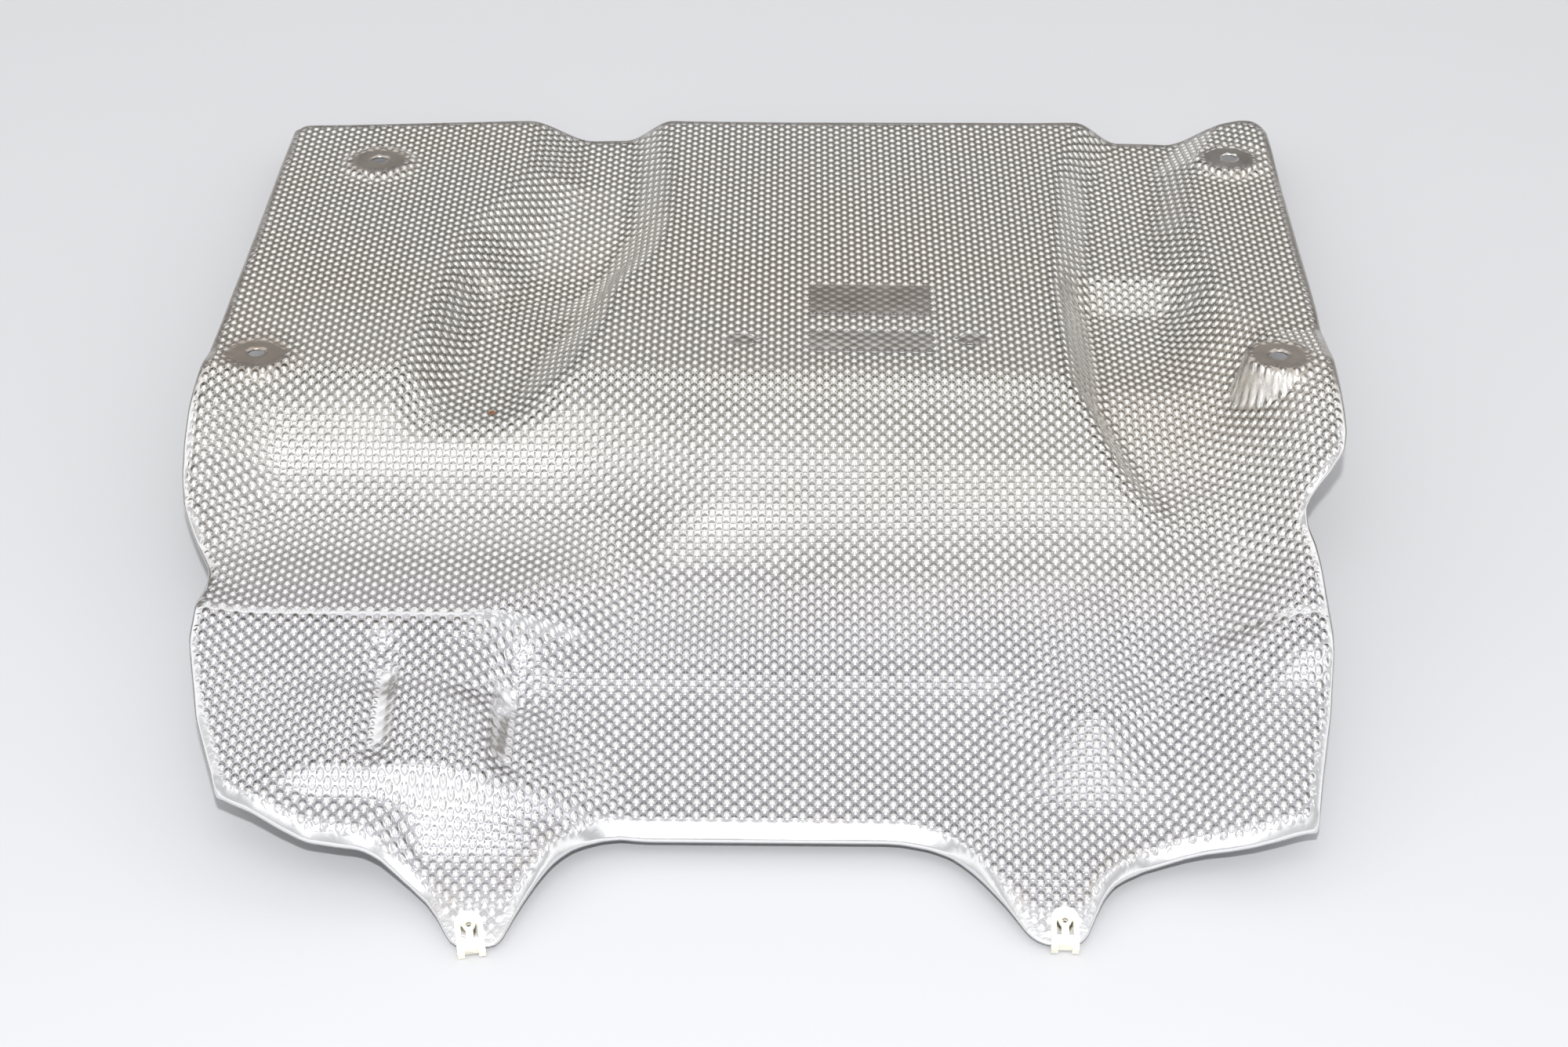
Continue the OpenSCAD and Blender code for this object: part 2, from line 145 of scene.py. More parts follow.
def form_z(x, v):
    c = curve(v, MID_SECTION) - 3.5 * bell(x + 30, 75) * bell(v - 425, 50)
    le = curve(v, LEFT_SECTION)
    xc = look(v, [(300, -60), (355, -60), (385, -62), (430, -76), (450, -92), (475, -120), (500, -130), (540, -109),
                  (600, -97)])
    hw = look(v, [(300, 60), (355, 50), (400, 34), (460, 36), (480, 38), (500, 30), (540, 50), (600, 60)])
    m = 1 - ramp(xc - hw, xc + hw, x)
    wing = look(v, [(250, 0), (300, 13), (340, 20), (380, 27), (400, RIGHT_WING_H), (420, RIGHT_WING_H), (460, 25),
                    (485, 24), (500, 20), (540, 17), (575, 14), (640, 10)])
    x0 = look(v, [(250, 240), (300, 236), (340, 212), (420, 212), (460, 205), (485, 185), (500, 165), (540, 150),
                  (600, 150)])
    x1 = look(v, [(250, 270), (300, 262), (340, 285), (420, 284), (460, 266), (485, 266), (500, 250), (600, 245)])
    lwing = look(v, [(285, 0), (300, 4), (340, 9), (365, 13), (385, 13), (410, 4), (440, 2), (480, 7), (520, 9),
                     (580, 6)])
    z = c * (1 - m) + le * m + wing * ramp(x0, x1, x) + lwing * (1 - ramp(-285, -238, x))
    z = z + 3.5 * ramp(20, 160, x) * (1 - ramp(200, 260, x)) * ramp(330, 370, v) * (1 - ramp(440, 500, v))
    # left channel and its pocket
    xl = look(v, [(-20, -140), (0, -140), (60, -142), (100, -152), (140, -168), (180, -176), (240, -184)])
    wl = look(v, [(-20, 36), (0, 38), (60, 42), (100, 40), (140, 48), (180, 52), (240, 50)])
    xr = look(v, [(-20, -56), (0, -56), (60, -50), (120, -48), (160, -54), (180, -61), (200, -70), (220, -78),
                  (250, -80)])
    wr = look(v, [(0, 28), (60, 32), (120, 38), (160, 42), (200, 42)])
    d = LEFT_CHANNEL_D * look(v, [(0, 1), (60, 1.12), (100, 1.37), (140, 1.68), (160, 1.78), (185, 1.75), (205, 1.58),
                                  (225, 1.3), (245, 0.75), (265, 0)])
    z = z - d * ramp(xl, xl + wl, x) * (1 - ramp(xr - wr, xr, x))
    px = look(v, [(170, -168), (200, -171), (240, -177), (290, -187), (350, -196)])
    qx = look(v, [(170, -70), (200, -74), (240, -78), (290, -90), (320, -98), (350, -124)])
    m = ramp(px, px + 32, x) * (1 - ramp(qx - 40, qx, x)) * ramp(168, 200, v)
    z = z + (smin(z, BACK_Z + 1.5 + 0.184 * v - LEFT_POCKET_D, 5) - z) * m
    # right channel, its pocket and the dish in front
    xl = look(v, [(-20, 180), (0, 176), (30, 166), (60, 160), (200, 150), (300, 152), (350, 168), (400, 190)])
    xr = look(v, [(-20, 266), (0, 264), (40, 248), (120, 240), (200, 244), (250, 262), (300, 290), (400, 280)])
    wr = look(v, [(200, 34), (250, 60), (300, 90)])
    m = ramp(xl, xl + 26, x) * (1 - ramp(xr - wr, xr, x)) * (1 - ramp(350, 425, v))
    floor_z = BACK_Z + PLATE_SLOPE * v - RIGHT_CHANNEL_D - RIGHT_POCKET_D * look(v, [(165, 0), (195, 1)])
    z = z + (smin(z, smin(floor_z, 47.5 - 0.055 * (v - 268), 3), 4) - z) * m
    # left boss, step and right boss
    on = ramp(466, 484, v) * (1 - ramp(545, 562, v))
    st = FRONT_STEP * look(x, [(-232, 0), (-204, 1), (-90, 1), (-64, 0)])
    z = z - on * LEFT_BOSS_H * (0.93 * bell(x + 179, 11) + 1.07 * bell(x + 117, 12))
    z = z - 0.65 * st * ramp(556, 574, v) + 0.3 * st * ramp(495, 515, v) * (1 - ramp(556, 574, v))
    r = np.hypot(x - 159, np.maximum(np.maximum(448 - v, v - 500), 0))
    z = smax(z, RIGHT_BOSS_Z + 1.7 - 0.42 * np.sqrt(np.maximum(r - 8, 0) ** 2 + 16), 6)
    # the back right corner turns up
    z = z + 5 * ramp(255, 280, x) * (1 - ramp(20, 70, v))
    for xt, vt in zip(TAB_X, TAB_V):
        z = z + (TAB_Z + TAB_SLOPE * (vt - v) - z) * ramp(552, 592, v) * (1 - ramp(22, 56, np.abs(x - xt)))
    for p in PADS:
        r = np.hypot(x - p[0], v - p[1])
        z = z + (p[2] + PLATE_SLOPE * (v - p[1]) - z) * (1 - ramp(PAD_R, PAD_R + PAD_RIM, r))
    return z


def top_z(x, v):
    d = look(x, FRONT_EDGE) - v
    t = np.minimum(np.abs(x - TAB_X[0]), np.abs(x - TAB_X[1]))
    lip = np.where(d > LIP_W, 0, LIP_DROP * ramp(13, 42, t) * np.clip(1 - d / LIP_W, 0, 1) ** 1.6)
    e = np.minimum(x - look(v, LEFT_EDGE), look(v, RIGHT_EDGE) - x)
    hem = np.where(e > 5, 0, 1.4 * np.clip(1 - e / 5, 0, 1) ** 2)
    return form_z(x, v) - lip - hem


# developed distance along the sheet, so that the emboss keeps its pitch on the slopes
_v = np.arange(-20, 660, 0.5)
_z = curve(_v, MID_SECTION)
_s = np.concatenate([[0], np.cumsum(np.hypot(np.diff(_v), np.diff(_z)))]) - 20.0


def to_s(v):
    return np.interp(v, _v, _s)


def to_v(s):
    return np.interp(s, _s, _v)


# ------------------------------------------------------------------ outline and holes, in (x, s)
def dense(points, step):
    out = []
    for i, a in enumerate(points):
        b = points[(i + 1) % len(points)]
        n = max(1, int(math.ceil(math.dist(a, b) / step)))
        out += [(a[0] + (b[0] - a[0]) * k / n, a[1] + (b[1] - a[1]) * k / n) for k in range(n)]
    return np.array(out)


def blur(loop, rounds):
    for _ in range(rounds):
        loop = 0.5 * loop + 0.25 * (np.roll(loop, 1, 0) + np.roll(loop, -1, 0))
    return loop


def resample(loop, step):
    closed = np.vstack([loop, loop[:1]])
    run = np.concatenate([[0], np.cumsum(np.hypot(*np.diff(closed, axis=0).T))])
    n = int(round(run[-1] / step))
    at = np.arange(n) * run[-1] / n
    return np.column_stack([np.interp(at, run, closed[:, 0]), np.interp(at, run, closed[:, 1])])


left = [(look(v, LEFT_EDGE), v) for v in np.arange(13, 576, 6.0)]
front = [(x, look(x, FRONT_EDGE)) for x in sorted({p[0] for p in FRONT_EDGE} | set(np.arange(-240, 256, 8.0)))]
right = [(look(v, RIGHT_EDGE), v) for v in np.arange(570, 12, -6.0)]
back = [(x, look(x, BACK_EDGE)) for x in sorted({p[0] for p in BACK_EDGE} | set(np.arange(-255, 256, 10.0)), reverse=True)]
outline = resample(blur(dense([(float(a), float(b)) for a, b in left + front + right + back], 0.8), 5), 2.6)
outline[:, 1] = to_s(outline[:, 1])


def circle(cx, cv, r, n):
    a = np.arange(n) * 2 * math.pi / n
    return np.column_stack([cx + r * np.cos(a), to_s(cv + r * np.sin(a))])


_ta = math.atan(TAB_SLOPE)
holes = [(p[0], p[1], HOLE_D / 2, 40) for p in PADS]
for n in (0, 1):
    t = math.radians(CLIP_TURN[n])
    y = -CLIP_OUT - CLIP_W / 2 * abs(math.sin(t)) + CLIP_HOLE_Y * math.cos(t)
    holes.append((CLIP_X[n] - CLIP_HOLE_Y * math.sin(t), TAB_V[n] - y * math.cos(_ta), TAB_HOLE_D / 2, 28))
hole_loops = [circle(*h) for h in holes]


def loop_distance(p, loop):
    """Distance of each point to a closed loop."""
    a, b = loop, np.roll(loop, -1, 0)
    d = b - a
    q = (d * d).sum(1)
    out = np.empty(len(p))
    for i in range(0, len(p), 4000):
        w = p[i:i + 4000, None, :] - a[None]
        t = np.clip((w * d[None]).sum(2) / q[None], 0, 1)
        out[i:i + 4000] = np.sqrt(((w - t[..., None] * d[None]) ** 2).sum(2).min(1))
    return out


def within(p, loop):
    a, b = loop, np.roll(loop, -1, 0)
    out = np.zeros(len(p), bool)
    for i in range(0, len(p), 4000):
        x, y = p[i:i + 4000, 0][:, None], p[i:i + 4000, 1][:, None]
        cross = (a[None, :, 1] > y) != (b[None, :, 1] > y)
        with np.errstate(divide="ignore", invalid="ignore"):
            at = (b[None, :, 0] - a[None, :, 0]) * (y - a[None, :, 1]) / (b[None, :, 1] - a[None, :, 1]) + a[None, :, 0]
        out[i:i + 4000] = (cross & (x < at)).sum(1) % 2 == 1
    return out


def offset(loop, d):
    t = np.roll(loop, -1, 0) - np.roll(loop, 1, 0)
    t /= np.hypot(t[:, 0], t[:, 1])[:, None]
    n = np.column_stack([-t[:, 1], t[:, 0]])
    if not within((loop + 0.3 * n)[:40], loop).mean() > 0.5:
        n = -n
    return loop + d * n


rings = [offset(outline, 1.1)]
P0, P1, Q0, Q1 = -168, 168, -8, 376  # lattice index range


def lattice_faces(fine):
    """(points in (x, s), triangles, set of open boundary edges) of the regular part of one face of the sheet."""
    step = 1 if fine else 2
    pp, qq = np.meshgrid(np.arange(P0, P1 + 1, step), np.arange(Q0, Q1 + 1, step), indexing="ij")
    keep = (pp + qq) % 2 == 0 if fine else np.ones(pp.shape, bool)
    pts = np.column_stack([pp[keep] * CELL, qq[keep] * CELL]).astype(float)
    ok = np.zeros(pp.shape, bool)
    inside = within(pts, outline)
    far = np.zeros(len(pts))
    far[inside] = loop_distance(pts[inside], outline)
    good = inside & (far > (2.4 if fine else 3.4))
    for loop, h in zip(hole_loops, holes):
        near = np.hypot(pts[:, 0] - h[0], pts[:, 1] - to_s(h[1])) < 14
        idx = np.nonzero(near)[0]
        bad = within(pts[idx], loop) | (loop_distance(pts[idx], loop) < (1.1 if fine else 2.0))
        good[idx[bad]] = False
    ok[keep] = good
    ident = -np.ones(pp.shape, int)
    ident[ok] = np.arange(ok.sum())
    coords = np.column_stack([pp[ok] * CELL, qq[ok] * CELL]).astype(float)
    tris = []
    if fine:
        ci, cj = np.nonzero((pp + qq) % 2 != 0)
        inner = (ci > 0) & (cj > 0) & (ci < pp.shape[0] - 1) & (cj < pp.shape[1] - 1)
        ci, cj = ci[inner], cj[inner]
        w, e, s, n = ident[ci - 1, cj], ident[ci + 1, cj], ident[ci, cj - 1], ident[ci, cj + 1]
        full = (w >= 0) & (e >= 0) & (s >= 0) & (n >= 0)
        ci, cj, w, e, s, n = (k[full] for k in (ci, cj, w, e, s, n))
        across = pp[ci, cj] % 2 == 0  # the low corners are left and right
        cells = {(int(a), int(b)) for a, b in zip(pp[ci, cj], qq[ci, cj])}
        a = across
        tris = np.vstack([np.column_stack([w[a], s[a], e[a]]), np.column_stack([w[a], e[a], n[a]]),
                          np.column_stack([s[~a], e[~a], n[~a]]), np.column_stack([s[~a], n[~a], w[~a]])])
    else:
        a, b, c, d = ident[:-1, :-1], ident[1:, :-1], ident[1:, 1:], ident[:-1, 1:]
        full = (a >= 0) & (b >= 0) & (c >= 0) & (d >= 0)
        high = ((pp[:-1, :-1] + qq[:-1, :-1]) // 2) % 2 == 0
        cells = {(int(x), int(y)) for x, y in zip(pp[:-1, :-1][full], qq[:-1, :-1][full])}
        h, k = full & high, full & ~high
        tris = np.vstack([np.column_stack([a[h], b[h], d[h]]), np.column_stack([b[h], c[h], d[h]]),
                          np.column_stack([a[k], b[k], c[k]]), np.column_stack([a[k], c[k], d[k]])])
    used = np.unique(tris)
    new = -np.ones(len(coords), int)
    new[used] = np.arange(len(used))
    tris = new[tris]
    edges = {}
    for t in tris:
        for i in range(3):
            k = tuple(sorted((int(t[i]), int(t[(i + 1) % 3]))))
            edges[k] = edges.get(k, 0) + 1
    border = [k for k, n in edges.items() if n == 1]
    return coords[used], tris, border, cells


def in_cells(p, cells, fine):
    u, s = p[:, 0] / CELL, p[:, 1] / CELL
    if not fine:
        return np.array([(int(math.floor(a / 2)) * 2, int(math.floor(b / 2)) * 2) in cells for a, b in zip(u, s)])
    a, b = np.floor((u + s) / 2), np.floor((u - s) / 2)
    return np.array([(int(i + j + 1), int(i - j)) in cells for i, j in zip(a, b)])


def one_face(fine):
    """Every point in (x, s) and every triangle of the sheet's upper (fine) or lower face. The outline and the holes come first."""
    loops = [outline] + hole_loops
    lead = np.vstack(loops)
    grid, tris, border, cells = lattice_faces(fine)
    edge_ids = sorted({i for e in border for i in e})
    local = {g: len(lead) + k for k, g in enumerate(edge_ids)}
    extra = [r for r in rings] if fine else []
    pts = np.vstack([lead, grid[edge_ids]] + extra)
    lines, start = [], 0
    for lp in loops:
        n = len(lp)
        lines += [(start + i, start + (i + 1) % n) for i in range(n)]
        start += n
    lines += [(local[a], local[b]) for a, b in border]
    vs, _, fs, ov, _, _ = delaunay_2d_cdt([Vector(p) for p in pts], lines, [], 0, 1e-5)
    back_to = [min(o) if len(o) else -1 for o in ov]
    cdt = np.array([[back_to[i] for i in f] for f in fs if len(f) == 3])
    cdt = cdt[(cdt >= 0).all(1)]
    mid = pts[cdt].mean(1)
    keep = within(mid, outline)
    for lp in hole_loops:
        keep &= ~within(mid, lp)
    keep &= ~in_cells(mid, cells, fine)
    cdt = cdt[keep]
    # one numbering: lead, then all the lattice points, then the extra ring points
    where = np.arange(len(pts))
    where[len(lead):len(lead) + len(edge_ids)] = len(lead) + np.array(edge_ids)
    where[len(lead) + len(edge_ids):] = len(lead) + len(grid) + np.arange(len(pts) - len(lead) - len(edge_ids))
    all_pts = np.vstack([lead, grid] + extra)
    return all_pts, np.vstack([tris + len(lead), where[cdt]]), len(lead)


# ------------------------------------------------------------------ where the emboss is flattened
def emboss_share(x, v, s):
    p = np.column_stack([x, s])
    d = loop_distance(p, outline)
    # the smooth rim is wide at the rolled front lip and narrow along the sides and the back
    wide = ramp(505, 545, v) * (1 - 0.6 * ramp(70, 95, np.abs(x - 5)))
    m = ramp(2.6 + 3.9 * wide, 4.8 + 5.2 * wide, d)
    # the emboss is pressed out where the sheet falls steeply
    fall = np.hypot(top_z(x + 1, v) - top_z(x - 1, v), top_z(x, v + 1) - top_z(x, v - 1)) / 2
    m = m * (1 - 0.55 * ramp(0.8, 1.4, fall))
    for q in PADS:
        r = np.hypot((x - q[0]), (v - q[1]) * 1.12)
        m = m * ramp(PAD_R - 1.5, PAD_R + 2.5, r)
    for x0, x1, v0, v1 in ((22, 88, 205, 240), (22, 88, 255, 279)):
        b = ramp(x0 - 1.5, x0 + 1.5, x) * (1 - ramp(x1 - 1.5, x1 + 1.5, x))
        b = b * ramp(v0 - 1.5, v0 + 1.5, v) * (1 - ramp(v1 - 1.5, v1 + 1.5, v))
        m = m * (1 - 0.9 * b)
    for cx, cv in ((-12, 267), (107, 264)):
        m = m * (0.12 + 0.88 * ramp(0.9, 1.15, np.hypot((x - cx) / 9.5, (v - cv) / 6.5)))
    for n in (0, 1):
        m = m * (1 - 0.75 * ramp(606, 618, v) * (1 - ramp(22, 30, np.abs(x - TAB_X[n]))))
    # the sharp front fold is drawn smooth at the left and the right end
    near = ramp(-215, -190, x) * (1 - ramp(-105, -75, x))
    fold = (1 - ramp(1.6 + 1.2 * near, 3.6 + 1.6 * near, np.abs(v - 461.5))) * np.maximum(1 - ramp(-100, -75, x), ramp(215, 240, x))
    m = m * (1 - 0.8 * fold)
    for xs in (-176, -121):
        m = m * (1 - 0.92 * ramp(488, 498, v) * (1 - ramp(538, 550, v)) * (1 - ramp(4.0, 6.5, np.abs(x - xs))))
    return m, d


def wrinkle_share(x, v, d):
    w = (1 - ramp(9, 16, d)) * ramp(3, 7, d) * (0.15 + 0.65 * ramp(505, 545, v))
    for q in PADS:
        r = np.hypot(x - q[0], v - q[1])
        w = np.maximum(w, ramp(PAD_R - 3, PAD_R + 1, r) * (1 - ramp(PAD_R + 5, PAD_R + 11, r)))
    for n in (0, 1):
        w = np.maximum(w, 0.9 * ramp(602, 616, v) * (1 - ramp(20, 30, np.abs(x - TAB_X[n]))))
    return w


def pad_share(x, v, d):
    """Dull areas: the washers' rounds and the flattened rim at the back and the sides."""
    w = np.zeros(np.shape(x))
    for k, q in enumerate(PADS):
        r = np.hypot(x - q[0], v - q[1])
        w = np.maximum(w, (0.85, 0.35, 1.0, 0.75)[k] * (1 - ramp(PAD_R - 2, PAD_R + 5, r)))
    return np.maximum(w, 0.8 * (1 - ramp(2.0, 4.0, d)) * (1 - ramp(290, 340, v)))


def dome_height(p, q):
    """Height share of a lattice point: 1 on a dome, 0 between domes."""
    a, b = (p + q) / 2, (p - q) / 2
    return np.where((np.abs(p - np.round(p)) < 1e-6) & (np.abs(q - np.round(q)) < 1e-6)
                    & (np.mod(a, 2) == 0) & (np.mod(b, 2) == 0), 1.0, 0.0)


def build_sheet():
    points, faces, share, wrinkle, pad, coords = [], [], [], [], [], []
    count = 0
    leads = []
    for fine in (True, False):
        pts, tris, nlead = one_face(fine)
        x, s = pts[:, 0], pts[:, 1]
        v = to_v(s)
        m, d = emboss_share(x, v, s)
        p, q = x / CELL, s / CELL
        regular = (np.abs(p - np.round(p)) < 1e-6) & (np.abs(q - np.round(q)) < 1e-6)
        high = np.where(regular, dome_height(np.round(p), np.round(q)), 0.0)
        z = top_z(x, v)
        if not fine:
            gx = (form_z(x + 1, v) - form_z(x - 1, v)) / 2
            gv = (form_z(x, v + 1) - form_z(x, v - 1)) / 2
            z = z - SHEET_T * np.minimum(1.5, np.sqrt(1 + gx * gx + gv * gv))
        z = z + DOME_H * m * high
        world = np.column_stack([x, MID_V - v, z + REST_LIFT]) / 1000.0
        a, b, c = (world[tris[:, i]] for i in range(3))
        area = (b[:, 0] - a[:, 0]) * (c[:, 1] - a[:, 1]) - (b[:, 1] - a[:, 1]) * (c[:, 0] - a[:, 0])
        turn = area < 0 if fine else area > 0
        tris = tris.copy()
        tris[turn] = tris[turn][:, ::-1]
        tris = tris[np.abs(area) > 1e-12]
        points.append(world)
        faces.append(tris + count)
        share.append(m if fine else m * -0.9)
        wrinkle.append(wrinkle_share(x, v, d))
        pad.append(pad_share(x, v, d))
        coords.append(np.column_stack([(p + q) / 4.0, (p - q) / 4.0]))
        leads.append(count)
        count += len(pts)
    # rim of the outline and of each hole
    start, rim = 0, []
    for k, lp in enumerate([outline] + hole_loops):
        n = len(lp)
        i = np.arange(n)
        a, b = start + i, start + (i + 1) % n
        rim += [np.column_stack([leads[0] + a, leads[1] + a, leads[1] + b]),
                np.column_stack([leads[0] + a, leads[1] + b, leads[0] + b])]
        start += n
    points = np.vstack(points)
    rim = np.vstack(rim)
    top_edges = set()
    for t in faces[0]:
        for i in range(3):
            top_edges.add((int(t[i]), int(t[(i + 1) % 3])))
    # a rim triangle has to run against the upper face's edge
    fixed = []
    for t in rim:
        on_top = [int(k) for k in t if k < leads[1]]
        if len(on_top) == 2:
            e = [(int(t[i]), int(t[(i + 1) % 3])) for i in range(3)]
            pair = next(p for p in e if p[0] < leads[1] and p[1] < leads[1])
            fixed.append(t[::-1] if pair in top_edges else t)
        else:
            fixed.append(None)
    n = 0
    for lp in [outline] + hole_loops:
        k = len(lp)
        first, second = fixed[n:n + k], fixed[n + k:n + 2 * k]
        for j in range(k):
            one, two = rim[n + j], rim[n + k + j]
            flipped = tuple(second[j]) != tuple(two)
            fixed[n + j] = one[::-1] if flipped else one
        n += 2 * k
    faces = np.vstack(faces + [np.array(fixed)])
    mesh = bpy.data.meshes.new("embossed_sheet")
    mesh.from_pydata(points.tolist(), [], faces.tolist())
    mesh.update()
    for name, data in (("emboss", np.concatenate(share)), ("wrinkle", np.concatenate(wrinkle)),
                       ("pad", np.concatenate(pad))):
        at = mesh.attributes.new(name, "FLOAT", "POINT")
        at.data.foreach_set("value", data.astype(np.float32))
    uv = mesh.uv_layers.new(name="sheet")
    co = np.vstack(coords)
    corner = np.empty(len(mesh.loops), np.int32)
    mesh.loops.foreach_get("vertex_index", corner)
    uv.data.foreach_set("uv", co[corner].astype(np.float32).ravel())
    mesh.polygons.foreach_set("use_smooth", np.ones(len(mesh.polygons), bool))
    ob = bpy.data.objects.new("embossed_sheet", mesh)
    bpy.context.scene.collection.objects.link(ob)
    return ob


# ------------------------------------------------------------------ materials
class Nodes:
    """A short way to write a node tree."""

    def __init__(self, tree):
        self.tree = tree

    def add(self, kind, **settings):
        n = self.tree.nodes.new(kind)
        for k, v in settings.items():
            setattr(n, k, v)
        return n

    def put(self, node, **values):
        for k, v in values.items():
            key = int(k[1:]) if k[0] == "i" and k[1:].isdigit() else k.replace("_", " ")
            if isinstance(v, bpy.types.NodeSocket):
                self.tree.links.new(v, node.inputs[key])
            else:
                node.inputs[key].default_value = v
        return node

    def math(self, op, a, b=0.0, clamp=False):
        n = self.add("ShaderNodeMath", operation=op, use_clamp=clamp)
        self.put(n, i0=a, i1=b)
        return n.outputs[0]

    def vec(self, op, a, b=(0, 0, 0), out=0):
        n = self.add("ShaderNodeVectorMath", operation=op)
        self.put(n, i0=a, i1=b)
        return n.outputs["Value"] if out else n.outputs[0]

    def noise(self, where, scale, detail=3.0, rough=0.55, distortion=0.0):
        n = self.add("ShaderNodeTexNoise")
        self.put(n, Vector=where, Scale=scale, Detail=detail, Roughness=rough, Distortion=distortion)
        return n.outputs[0]

    def remap(self, value, a, b, c, d, smooth=False):
        n = self.add("ShaderNodeMapRange", interpolation_type="SMOOTHSTEP" if smooth else "LINEAR")
        self.put(n, i0=value, i1=a, i2=b, i3=c, i4=d)
        return n.outputs[0]

    def mix(self, share, a, b):
        n = self.add("ShaderNodeMix", data_type="RGBA")
        self.put(n, i0=share, i6=a, i7=b)
        return n.outputs[2]


def new_material(name):
    m = bpy.data.materials.new(name)
    m.use_nodes = True
    m.node_tree.nodes.clear()
    g = Nodes(m.node_tree)
    out = g.add("ShaderNodeOutputMaterial")
    bsdf = g.add("ShaderNodeBsdfPrincipled")
    m.node_tree.links.new(bsdf.outputs[0], out.inputs[0])
    return m, g, bsdf


def aluminium():
    m, g, bsdf = new_material("embossed_aluminium")
    here = g.add("ShaderNodeTexCoord").outputs["Object"]
    emb = g.add("ShaderNodeAttribute", attribute_name="emboss").outputs["Fac"]
    wri = g.add("ShaderNodeAttribute", attribute_name="wrinkle").outputs["Fac"]
    sheet = g.add("ShaderNodeUVMap", uv_map="sheet").outputs[0]
    # domes at every whole point of the sheet coordinates, slightly irregular
    wob = g.noise(here, 22.0, 2.0)
    cell = g.vec("FRACTION", g.vec("ADD", sheet, (0.5, 0.5, 0.0)))
    off = g.vec("SUBTRACT", cell, (0.5, 0.5, 0.0))
    two = g.add("ShaderNodeSeparateXYZ")
    g.put(two, Vector=off)
    across = g.math("MULTIPLY", g.math("ADD", two.outputs[0], two.outputs[1]), 2 * CELL / DOME_RX)
    along = g.math("MULTIPLY", g.math("SUBTRACT", two.outputs[0], two.outputs[1]), 2 * CELL / DOME_RS)
    r2 = g.math("ADD", g.math("MULTIPLY", across, across), g.math("MULTIPLY", along, along))
    q = g.math("SUBTRACT", 1.0, r2, clamp=True)
    dome = g.math("MULTIPLY", q, g.math("ADD", 0.35, g.math("MULTIPLY", q, 0.65)))
    size = g.remap(wob, 0.3, 0.7, 0.88, 1.12)
    height = g.math("MULTIPLY", g.math("MULTIPLY", dome, emb), g.math("MULTIPLY", size, 1.9 * DOME_H / 1000.0))
    # crimps at the hem and the pad rims, and soft dents from the press
    crimp = g.noise(here, 150.0, 3.0, 0.6, 0.6)
    height = g.math("ADD", height, g.math("MULTIPLY", g.math("MULTIPLY", crimp, wri), 0.00045))
    height = g.math("ADD", height, g.math("MULTIPLY", g.noise(here, 26.0, 3.0), 0.0004))
    height = g.math("ADD", height, g.math("MULTIPLY", g.noise(here, 900.0, 2.0), 0.00003))
    bump = g.add("ShaderNodeBump")
    g.put(bump, Strength=1.0, Distance=1.0, Height=height)
    # colour: clean metal, a warm tinge in broad patches, brownish film near the pads
    broad = g.noise(here, 7.0, 3.0)
    warm = g.remap(broad, 0.40, 0.68, 0.0, 1.0, True)
    plain = g.mix(warm, (0.82, 0.82, 0.822, 1), (0.80, 0.782, 0.757, 1))
    # painted shade: the web between the domes gets a darker base colour than the plain metal
    web = g.mix(warm, (0.575, 0.562, 0.535, 1), (0.56, 0.53, 0.48, 1))
    # from the ridge forward, the plain metal and the web are drawn a cooler grey, the web a little lighter
    part = g.add("ShaderNodeSeparateXYZ")
    g.put(part, Vector=here)
    cool = g.remap(part.outputs[1], 0.02, -0.15, 0.0, 0.9)
    web = g.mix(cool, web, (0.60, 0.60, 0.632, 1))
    plain = g.mix(cool, plain, (0.80, 0.803, 0.82, 1))
    # painted highlight: the dome tops are drawn near-white against the darker web
    peak = g.remap(dome, 0.12, 0.62, 0.0, 1.0, True)
    base = g.mix(emb, plain, g.mix(peak, web, g.mix(cool, (0.955, 0.945, 0.912, 1), (0.95, 0.95, 0.955, 1))))
    film = g.math("MULTIPLY", g.remap(g.noise(here, 30.0, 4.0), 0.5, 0.75, 0.0, 0.55, True), wri)
    base = g.mix(film, base, (0.60, 0.52, 0.44, 1))
    # the pads are dull and brownish from the washers
    pads = g.add("ShaderNodeAttribute", attribute_name="pad").outputs["Fac"]
    worn = g.math("MULTIPLY", pads, g.remap(g.noise(here, 120.0, 4.0), 0.3, 0.7, 0.65, 1.0))
    base = g.mix(worn, base, (0.44, 0.385, 0.335, 1))
    # one small speck of rust in front of the cross ridge
    speck = g.vec("DISTANCE", here, (-0.138, (MID_V - 318) / 1000.0, (form_z(np.array(-138.0), np.array(318.0)) + REST_LIFT) / 1000.0), out=1)
    spot = g.remap(g.math("ADD", speck, g.math("MULTIPLY", g.noise(here, 700.0, 2.0), 0.0015)), 0.0016, 0.0032, 1.0, 0.0, True)
    base = g.mix(spot, base, (0.28, 0.11, 0.04, 1))
    rough = g.remap(g.noise(here, 60.0, 3.0), 0.3, 0.7, 0.14, 0.24)
    rough = g.math("SUBTRACT", rough, g.math("MULTIPLY", g.math("MULTIPLY", peak, emb), 0.05))
    rough = g.math("ADD", rough, g.math("MULTIPLY", spot, 0.4))
    rough = g.math("ADD", rough, g.math("MULTIPLY", wri, 0.06))
    rough = g.math("ADD", rough, g.math("MULTIPLY", worn, 0.16))
    g.put(bsdf, Base_Color=base, Metallic=1.0, Roughness=rough, Normal=bump.outputs[0])
    return m


